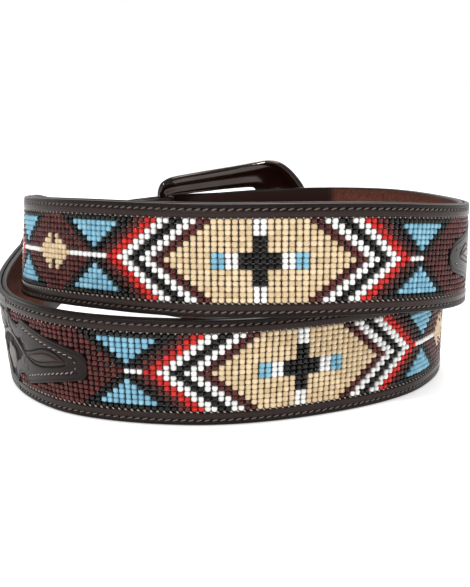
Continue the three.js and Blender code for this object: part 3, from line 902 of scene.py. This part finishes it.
# A closed spindle about its second axis: a ring for each (place, radius) of a profile, with a
# ladder of quads over both ends.
def spindle(profile, sides):
    profile = np.array(profile, float)
    turn = -np.arange(sides) / sides * 2 * np.pi
    form = np.stack([
        profile[:, 1:] * np.cos(turn), np.repeat(profile[:, :1], sides, axis=1),
        profile[:, 1:] * np.sin(turn)], axis=-1).reshape(-1, 3)
    quads = gridFaces(len(profile), sides, closeColumns=True)
    k = np.arange(sides // 2 - 1)
    ladder = np.stack([k, sides - 1 - k, sides - 2 - k, k + 1], axis=1)
    end = ladder[:, ::-1] + (len(profile) - 1) * sides
    return form, np.concatenate([quads, ladder, end])


# Stitches: short round-ended threads set along paths given by the place along and across, each
# dipping a little below the face and slanted the same way.
stitchValues = {
    "radius": 0.00022, "tongueRadius": 0.00018, "length": 0.72, "slant": 0.3, "proud": 0.35,
    "sunk": 0.00022, "sides": 6,
    "profile": [(-1, 0.3), (-0.85, 0.8), (-0.4, 1.0), (0.4, 1.0), (0.85, 0.8), (1, 0.3)],
}


# Even places along a path and its direction at each: the path is read by its length.
def evenPlaces(path, pitch):
    path = np.asarray(path)
    lengths = np.concatenate([[0], np.cumsum(np.hypot(*np.diff(path, axis=0).T))])
    count = max(1, int(round(lengths[-1] / pitch)))
    at = (np.arange(count) + 0.5) * lengths[-1] / count

    def pointAt(where):
        return np.stack([np.interp(where, lengths, path[:, i]) for i in (0, 1)], axis=1)
    way = pointAt(at + pitch / 8) - pointAt(at - pitch / 8)
    return pointAt(at), np.arctan2(way[:, 1], way[:, 0])


# A thread's axes: its own way in the belt's face at an angle from the length, and out of the face.
def threadAxes(middle, angle, off):
    axes = beltAxes(middle[:, 0], middle[:, 1], off)
    run, rise, out = axes[:, 0], axes[:, 1], axes[:, 2]
    way = run * np.cos(angle)[:, None] + rise * np.sin(angle)[:, None]
    return np.stack([np.cross(way, out), way, out], axis=1)


# Spindles of one half length and radius, laid at places on the belt at their angles.
def makeThreads(name, middle, angle, off, half, radius, material):
    form, quads = spindle(stitchValues["profile"], stitchValues["sides"])
    makeCopies(
        name, form, quads, onBelt(middle[:, 0], middle[:, 1], off), threadAxes(middle, angle, off),
        np.tile([radius, half, radius], (len(middle), 1)), material)


# Stitches spaced evenly along each path, at a depth under the face and a share of a radius up.
def makeStitches(name, paths, pitch, material, radius, depth):
    parts = [evenPlaces(path, pitch) for path in paths]
    middle = np.concatenate([part[0] for part in parts])
    angle = np.concatenate([part[1] for part in parts]) + stitchValues["slant"]
    off = faceHigh - depth + radius * stitchValues["proud"]
    half = pitch * stitchValues["length"] / 2
    makeThreads(name, middle, angle, off, half, radius, material)


lineLow = borderValues["stitchIn"]
lineHigh = beltWidth - lineLow
makeStitches(
    "border_stitches", [[(borderFrom, y), (borderTo, y)] for y in (lineLow, lineHigh)],
    borderValues["pitch"], darkThread, stitchValues["radius"], borderValues["grooveDepth"])


# A stitch line along one side of a billet: its half width less the inset.
def edgePath(start, end, halfAt, inset, side):
    along = spread(start, end, 0.001)
    return np.stack([along, halfWidth + side * np.maximum(halfAt(along) - inset, 0)], axis=1)


# The stitch line round a tongue: down one side, across near the tip and back up the other.
def tonguePath(tip, side):
    back = np.concatenate([
        spread(billetValues["stitchedTo"], 0.0075, 0.0008), [0.0058, 0.0047]])
    half = tongueHalf(back) - billetValues["tongueStitch"]
    half[-2:] = half[-3] * np.array([0.72, 0.3])
    both = np.concatenate([back, back[::-1]])
    return np.stack([tip + side * both, halfWidth + np.concatenate([half, -half[::-1]])], axis=1)


edgeIn = billetValues["edgeStitch"]
billetEnds = [
    (beltValues["faceStart"] + 0.002, tongueA - shoulder, buckleHalf),
    (tongueB + shoulder, tailTip - 0.0042, tipHalf),
]
billetPaths = [
    edgePath(start, end, halfAt, edgeIn, side)
    for start, end, halfAt in billetEnds for side in (-1, 1)
]
makeStitches("billet_stitches", billetPaths, borderValues["pitch"], darkThread,
             stitchValues["radius"], stitchValues["sunk"])
makeStitches("tongue_stitches", [tonguePath(tongueA, -1), tonguePath(tongueB, 1)],
             billetValues["tonguePitch"], tongueThread, stitchValues["tongueRadius"],
             stitchValues["sunk"])
print("stage 6: stitches")

# Beads: one chart for every column and row, worked out from bands round repeated diamonds.
beadValues = {
    "rowPitch": 0.001853,
    "rows": 7,
    "columnPitch": 0.002292,
    "firstColumn": 6.3,
    "period": 73,
    "diamond": 53,
    "lastColumn": 272,
    "along": 0.00109,
    "halfLength": 0.00093,
    "outward": 0.00094,
    "off": 0.00206,
    "tongueRoom": -0.0001,
    "endRoom": 0.0012,
    "jitter": 0.00005,
    "tilt": 0.05,
    "sizeSpread": 0.03,
    "toneSpread": 0.24,
    "sides": 8,
    "seed": 11,
    "profile": [(-1, 0.38), (-0.82, 0.76), (-0.4, 0.97), (0.4, 0.97), (0.82, 0.76), (1, 0.38)],
}
tan, brown, red, white, black, blue = range(6)
bandColours = np.array([brown, brown, red, red, white, white, black, black, white, white,
                        brown, brown])
rowZeroColours = np.array([white, white, white, red, red, white, white, black, black, white,
                           white, brown, brown])
armColours = np.array([black, black, black, white, white, blue, blue])
motifMiddle = 63


# Colour of a bead: steps in from the diamond's point less the row give the band, and a cross
# stands in the diamond's middle. Outside the diamonds blue and black triangles stand at each
# point, with a small tan diamond half way between two points.
def chart(column, row):
    k = np.abs(row)
    phase = column % beadValues["period"]
    span, last = beadValues["diamond"], beadValues["lastColumn"]
    between = phase > span
    c = np.where(between, -np.minimum(phase - span, beadValues["period"] - phase),
                 np.minimum(phase, span - phase))
    ending = (column < 0) | (column > last)
    c = np.where(column < 0, column, np.where(column > last, last - column, c))
    band = np.clip(c - k - 1, 0, len(bandColours) - 1)
    inside = np.where(c > k + len(bandColours), tan, bandColours[band])
    core = np.where(np.abs(c) <= k - 2, blue, black)
    core = np.where(k == beadValues["rows"], black, core)
    colours = np.where(c > k, inside, np.where(np.abs(c) <= k, core, brown))
    lastBand = len(rowZeroColours) - 1
    rowZero = np.where(c > lastBand, tan, rowZeroColours[np.clip(c, 0, lastBand)])
    rowZero = np.where(c < 0, np.where((c >= -5) & ~ending, white, brown), rowZero)
    colours = np.where(k == 0, rowZero, colours)
    off = np.abs(phase - motifMiddle)
    motif = between & ~ending & (
        ((k == 0) & (off <= 4)) | ((k == 1) & (off <= 3)) | ((k == 2) & (off > 0) & (off < 3))
        | ((k == 3) & (off == 1)))
    colours = np.where(motif, tan, colours)
    step = span // 2 - c
    cross = ~between & ~ending & (step >= 0)
    colours = np.where(cross & (step == 0), np.where(k >= 5, white, black), colours)
    arm = cross & (k <= 1) & (step < len(armColours))
    return np.where(arm, armColours[np.clip(step, 0, len(armColours) - 1)], colours)


# Each colour's name, darkest and lightest glass and roughness, in the order of the codes above.
beadLooks = [
    ("tan", (190, 164, 126), (224, 204, 170), 0.2),
    ("brown", (40, 12, 11), (90, 34, 30), 0.07),
    ("red", (158, 18, 14), (206, 36, 28), 0.14),
    ("white", (212, 212, 210), (240, 240, 238), 0.18),
    ("black", (2, 2, 2), (11, 10, 10), 0.05),
    ("blue", (96, 150, 176), (140, 190, 208), 0.16),
]
columnPitch = beadValues["columnPitch"]
columnStart = tongueA + beadValues["firstColumn"] * columnPitch
endRoom = beadValues["endRoom"]
columnAll = np.arange(
    math.ceil((borderFrom + endRoom - columnStart) / columnPitch),
    math.floor((borderTo - endRoom - columnStart) / columnPitch) + 1)


# One bead for each column and row that no tongue covers, each moved, tilted, sized and toned a
# little by its own draw.
def makeBeads():
    draw = np.random.default_rng(beadValues["seed"])
    rows = np.arange(-beadValues["rows"], beadValues["rows"] + 1)
    column, row = (grid.ravel() for grid in np.meshgrid(columnAll, rows, indexing="ij"))
    along = columnStart + column * columnPitch
    across = halfWidth - row * beadValues["rowPitch"]
    room = np.ones(len(along), bool)
    for back in (tongueA - along, along - tongueB):
        edge = tongueHalf(np.clip(back, 0, None)) + beadValues["tongueRoom"]
        room &= ~((back > -beadValues["tongueRoom"]) & (np.abs(across - halfWidth) < edge))
    column, row, along, across = column[room], row[room], along[room], across[room]
    count = len(along)
    along = along + draw.normal(0, beadValues["jitter"], count)
    across = across + draw.normal(0, beadValues["jitter"] * 0.6, count)
    off = beadValues["off"] + draw.normal(0, beadValues["jitter"] * 0.8, count)
    axes = beltAxes(along, across, off)
    tilt = draw.normal(0, beadValues["tilt"], (count, 3))
    axes = unit(axes + np.cross(tilt[:, None, :], axes))
    size = 1 + draw.normal(0, beadValues["sizeSpread"], (count, 3))
    scales = size * np.array([beadValues["along"], beadValues["halfLength"], beadValues["outward"]])
    tone = np.clip(draw.normal(0.5, beadValues["toneSpread"], count), 0, 1)
    colours = chart(column, row)
    form, quads = spindle(beadValues["profile"], beadValues["sides"])
    places = onBelt(along, across, off)
    pieces = []
    for code, (label, dark, light, rough) in enumerate(beadLooks):
        chosen = colours == code
        glass = beadGlass("bead_" + label, paint(*dark), paint(*light), rough)
        pieces.append(makeCopies(
            "beads_" + label, form, quads, places[chosen], axes[chosen], scales[chosen], glass,
            numbers={"tone": tone[chosen]}))
    return pieces


beads = makeBeads()
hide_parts("bead_panel")
print("stage 7: beads,", sum(len(piece.data.polygons) for piece in beads), "faces")

# Loom threads: a dark backing, warp threads between the rows and loops of weft at both edges.
loomValues = {
    "backLow": 0.00115, "backHigh": 0.0015, "seam": 0.00005, "warpRadius": 0.00008,
    "warpOff": 0.0017, "warpLift": 0.00024, "warpRoom": 0.0006, "loopRadius": 0.00018,
    "loopAcross": 0.01402, "loopOff": 0.0027, "loopRoom": 0.001,
    "loops": [("lower", -1, -0.55, 0.0005), ("upper", 1, math.pi / 2, 0.0003)],
}
panelHalf = halfWidth - beltValues["border"] - gap


# The backing is two strips that all but meet on the middle line and part round each tongue.
def makeBacking():
    along = np.unique(np.round(np.concatenate([
        spread(borderFrom, borderTo, 0.003), spread(borderFrom, tongueA, 0.001),
        spread(tongueB, borderTo, 0.001)]), 5))
    inner = np.full(len(along), loomValues["seam"])
    for back in (tongueA - along, along - tongueB):
        reach = np.minimum(tongueHalf(np.clip(back, 0, None)), borderInner) + gap
        inner = np.where(back > 0, np.maximum(inner, reach), inner)
    inner = np.minimum(inner, panelHalf - 0.0001)
    share, level = np.array([(0, 0), (1, 0), (1, 1), (0, 1)]).T
    reach = mix(inner[:, None], panelHalf, share)
    off = mix(loomValues["backLow"], loomValues["backHigh"], level)
    upper, lower = (onBelt(along[:, None], halfWidth + side * reach, off) for side in (1, -1))
    makePiece(
        "bead_backing", np.stack([upper, lower[:, ::-1]]), barFaces(2, len(along)),
        backingCloth, sharp=40)


# Warp threads: thin cords between the rows of beads that rise and dip with each column.
def makeWarp():
    draw = np.random.default_rng(beadValues["seed"] + 1)
    along = spread(tongueA + loomValues["warpRoom"], tongueB - loomValues["warpRoom"], columnPitch)
    rows = np.arange(-beadValues["rows"] - 0.5, beadValues["rows"] + 1)
    lift = loomValues["warpLift"] * draw.uniform(-1, 1, (len(rows), len(along)))
    turn = np.arange(4) / 4 * 2 * np.pi
    radius = loomValues["warpRadius"]
    middle = halfWidth + rows[:, None, None] * beadValues["rowPitch"]
    off = (loomValues["warpOff"] + lift)[..., None] + radius * np.sin(turn)
    points = onBelt(along[:, None], middle + radius * np.cos(turn), off)
    makePiece("warp_threads", points, barFaces(len(rows), len(along)), paleThread)


# Weft loops: a short slanted thread between each two columns, along both edges of the beads.
def makeLoops():
    along = columnStart + (columnAll + 0.5) * columnPitch
    room = loomValues["loopRoom"]
    along = along[(along > borderFrom + room) & (along < borderTo - room)]
    for level, side, slant, half in loomValues["loops"]:
        across = np.full(len(along), halfWidth + side * loomValues["loopAcross"])
        makeThreads(
            "weft_loops_" + level, np.stack([along, across], axis=1), np.full(len(along), slant),
            loomValues["loopOff"], half, loomValues["loopRadius"], paleThread)


backingCloth = threadFinish("backing_cloth", paint(16, 11, 11), paint(40, 26, 24), 0.7)
makeBacking()
makeWarp()
makeLoops()
print("stage 8: loom threads")

# Buckle: outline and opening by rows from the bar round to the far end, as shares of the frame's
# and the opening's length and half height; the upper half is given and mirrored.
buckleValues = {
    "rows": [
        (0, 0, 0, 0), (0, 0.279, 0, 0.429), (0, 0.6, 0, 0.876), (0.016, 0.735, 0, 0.957),
        (0.045, 0.815, 0.042, 0.96), (0.115, 0.87, 0.164, 0.96), (0.284, 0.905, 0.398, 0.968),
        (0.493, 0.945, 0.703, 0.986), (0.649, 0.985, 0.932, 0.985), (0.736, 1, 0.979, 0.925),
        (0.811, 0.946, 0.998, 0.81), (0.892, 0.768, 1, 0.571), (0.959, 0.49, 1, 0.286),
        (1, 0, 1, 0),
    ],
    "steps": 312,
    "outerRound": 0.0015,
    "backHollow": 0.0007,
    "innerRound": 0.001,
    "roundSteps": 7,
    "sharp": 50,
}


# The outer and the inner outline: a closed curve through the rows and their mirror image.
def frameRing():
    rows = np.array(buckleValues["rows"])
    size = np.array([frameValues["length"], frameValues["half"], frameValues["opening"],
                     frameValues["openingHalf"]])
    upper = rows * size
    upper[:, 2] += frameValues["bar"]
    lower = upper[1:-1][::-1] * np.array([1, -1, 1, -1])
    share = np.arange(buckleValues["steps"]) / buckleValues["steps"]
    smooth = closedCurve(np.concatenate([upper, lower]), share)
    return smooth[:, :2], smooth[:, 2:]


# Section of the frame: quarter rounds at the opening's edges, an elliptical outer rim and a
# shallow hollow in the back.
def frameSection():
    inner, outer = buckleValues["innerRound"], buckleValues["outerRound"]
    half = frameThickness / 2
    quarter = np.linspace(0, np.pi / 2, 4)
    rim = np.linspace(-np.pi / 2, np.pi / 2, buckleValues["roundSteps"] + 2)
    flat = np.array([0.3, 0.55, 0.8])
    share = np.concatenate([np.zeros(4), flat, np.ones(len(rim)), flat[::-1], np.zeros(4)])
    inset = np.concatenate([
        inner * (1 - np.cos(quarter)), np.zeros(3), outer * (np.cos(rim) - 1), np.zeros(3),
        inner * (1 - np.cos(quarter[::-1]))])
    hollow = buckleValues["backHollow"] * np.array([0.8, 1.0, 0.8])
    high = np.concatenate([
        -half + inner * (1 - np.sin(quarter)), -half + hollow, half * np.sin(rim),
        np.full(3, half), half - inner * (1 - np.sin(quarter[::-1]))])
    return share, inset, high


# The section carried round the frame, from the inner outline to the outer one.
def makeFrame():
    outerRing, innerRing = frameRing()
    share, inset, high = frameSection()
    way = unit(outerRing - innerRing)
    flat = innerRing[:, None] + (outerRing - innerRing)[:, None] * share[None, :, None]
    flat = flat + way[:, None] * inset[None, :, None]
    points = place(frameValues["bar"] / 2 - flat[..., 0], halfWidth + flat[..., 1],
                   barCentre + np.broadcast_to(high, flat.shape[:2]))
    quads = gridFaces(len(outerRing), len(share), closeRows=True, closeColumns=True)[:, ::-1]
    piece = makePiece(
        "buckle_frame_polished", points, quads, metal, sharp=buckleValues["sharp"])
    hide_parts("buckle_frame")


# Prong: a ring round the bar and a tapered shaft with rounded edges that runs to the far end.
prongValues = {
    "shaftSteps": 40, "sides": 16, "ringSteps": 40, "rootHigh": 0.0006, "rootIn": 0.0006,
    "tipShare": 0.72, "squareness": 5,
}


# Both have one rounded square section: a circle divided by the fifth root of the sum of its
# parts' fifth powers. The shaft lifts and slims evenly along, and closes at its tip by a circle.
def makeProng():
    width, thick = frameValues["prongWidth"], frameValues["prongThickness"]
    reach = frameValues["prongReach"]
    lift = frameThickness / 2 + frameValues["prongSeat"] + thick / 2
    ringMiddle = eyeRadius - frameValues["eyeWall"] / 2
    turn = np.arange(prongValues["sides"]) / prongValues["sides"] * 2 * np.pi
    square = np.stack([np.cos(turn), np.sin(turn)], axis=1)
    power = prongValues["squareness"]
    square = square / (np.abs(square) ** power).sum(axis=1, keepdims=True) ** (1 / power)
    t = np.concatenate([np.linspace(0, 0.97, prongValues["shaftSteps"]),
                        [0.98, 0.988, 0.994, 0.998, 1.0]])
    x = mix(-eyeRadius + prongValues["rootIn"], -reach, t)
    z = barCentre + mix(prongValues["rootHigh"], lift, np.clip(t / 0.98, 0, 1))
    close = np.sqrt(np.clip(1 - np.clip((t - 0.965) / 0.0352, 0, 1) ** 2, 0.02, 1))
    slim = mix(1, prongValues["tipShare"], t) * close
    shaft = place(
        np.broadcast_to(x[:, None], (len(t), len(turn))),
        halfWidth + square[:, 0] * (width / 2) * slim[:, None],
        z[:, None] + square[:, 1] * (thick / 2) * slim[:, None])
    ringSteps = prongValues["ringSteps"]
    around = np.arange(ringSteps) / ringSteps * 2 * np.pi
    wall = ringMiddle + square[:, 1] * frameValues["eyeWall"] / 2
    ring = place(
        np.cos(around)[:, None] * wall,
        np.broadcast_to(halfWidth + square[:, 0] * width / 2, (ringSteps, len(turn))),
        barCentre + np.sin(around)[:, None] * wall)
    sides = len(turn)
    start = shaft.shape[0] * sides
    shaftQuads, caps = tubeFaces(len(t), sides)
    ringQuads = gridFaces(ringSteps, sides, closeRows=True, closeColumns=True) + start
    piece = makePiece(
        "prong_polished", np.concatenate([shaft.reshape(-1, 3), ring.reshape(-1, 3)]),
        np.concatenate([shaftQuads, ringQuads])[:, ::-1], metal,
        caps=[cap[::-1] for cap in caps], sharp=buckleValues["sharp"])
    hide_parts("prong")


makeFrame()
makeProng()
print("stage 9: buckle")

# Studio: a pale floor, four soft round lights by name, place, size and power, and the view.
studioValues = {
    "floorHalf": 4.0,
    "worldFront": 0.28,
    "worldBack": 1.0,
    "floorGlow": 0.45,
    "backRamp": (0.1, 1.6),
    "levelRamp": (1.7, 4.0),
    "cameraPlace": (0.002454, -0.430069, 0.111144),
    "cameraPitch": 10.853,
    "lens": 63.99,
    "aimHeight": 0.04,
    "lights": [
        ("key", (-0.45, -0.75, 0.85), 0.12, 6.5),
        ("fill", (0.8, -0.6, 0.5), 0.3, 2.6),
        ("top", (0.05, -0.1, 1.1), 0.4, 3.0),
        ("back", (0.1, 0.9, 0.8), 0.7, 4.0),
    ],
}


# Room light: dim in front and above, white behind the belt, and white all round near the
# horizon; the share is the larger of two held straight ramps, by the way back and the height.
def shadeSky(tree):
    way = tree.nodes.new("ShaderNodeTexCoord")
    split = tree.nodes.new("ShaderNodeSeparateXYZ")
    tree.links.new(way.outputs[0], split.inputs[0])
    ahead, up = Flow(tree, split.outputs[1]), Flow(tree, split.outputs[2])
    backStart, backRise = studioValues["backRamp"]
    levelStart, levelFall = studioValues["levelRamp"]
    level = (levelStart - up.math("ABSOLUTE") * levelFall).held()
    share = (ahead * backRise + backStart).held().math("MAXIMUM", level)
    front, back = studioValues["worldFront"], studioValues["worldBack"]
    feed(tree, tree.nodes["Background"].inputs["Strength"], share * (back - front) + front)
    tree.nodes["Background"].inputs["Color"].default_value = (1, 1, 1, 1)


# The floor, the room's light and the lamps, each turned from its place towards the belt.
def makeStudio():
    floorFinish = Finish(
        "studio_floor", Emission_Color=(1, 1, 1, 1), Emission_Strength=studioValues["floorGlow"])
    shade = floorFinish.noise(3.0, 2.0)
    paper = floorFinish.put(
        Base_Color=floorFinish.blend(shade, paint(244, 244, 243), paint(250, 250, 250)),
        Roughness=0.6)
    half = studioValues["floorHalf"]
    mesh = bpy.data.meshes.new("studio_floor")
    mesh.from_pydata([(-half, -half, 0), (half, -half, 0), (half, half, 0), (-half, half, 0)],
                     [], [(0, 1, 2, 3)])
    mesh.materials.append(paper)
    addObject("studio_floor", mesh)
    world = bpy.data.worlds.new("studio_world")
    world.use_nodes = True
    shadeSky(world.node_tree)
    bpy.context.scene.world = world
    for name, spot, size, power in studioValues["lights"]:
        lamp = bpy.data.lights.new(name, "AREA")
        lamp.shape = "DISK"
        lamp.size = size
        lamp.energy = power
        light = addObject(name, lamp)
        light.location = spot
        aim = np.array([0, 0, studioValues["aimHeight"]]) - np.array(spot)
        level = math.hypot(aim[0], aim[1])
        light.rotation_euler = (math.atan2(level, -aim[2]), 0, math.atan2(-aim[0], aim[1]))
    bpy.context.scene.view_settings.view_transform = "Standard"


# The camera in front of the belt, level but for its downward pitch.
def makeCamera():
    lens = bpy.data.cameras.new("camera")
    lens.lens = studioValues["lens"]
    lens.clip_start = 0.01
    camera = addObject("camera", lens)
    camera.location = studioValues["cameraPlace"]
    camera.rotation_euler = (math.radians(90 - studioValues["cameraPitch"]), 0, 0)
    bpy.context.scene.camera = camera


makeStudio()
makeCamera()


print("stage 10: studio and camera")
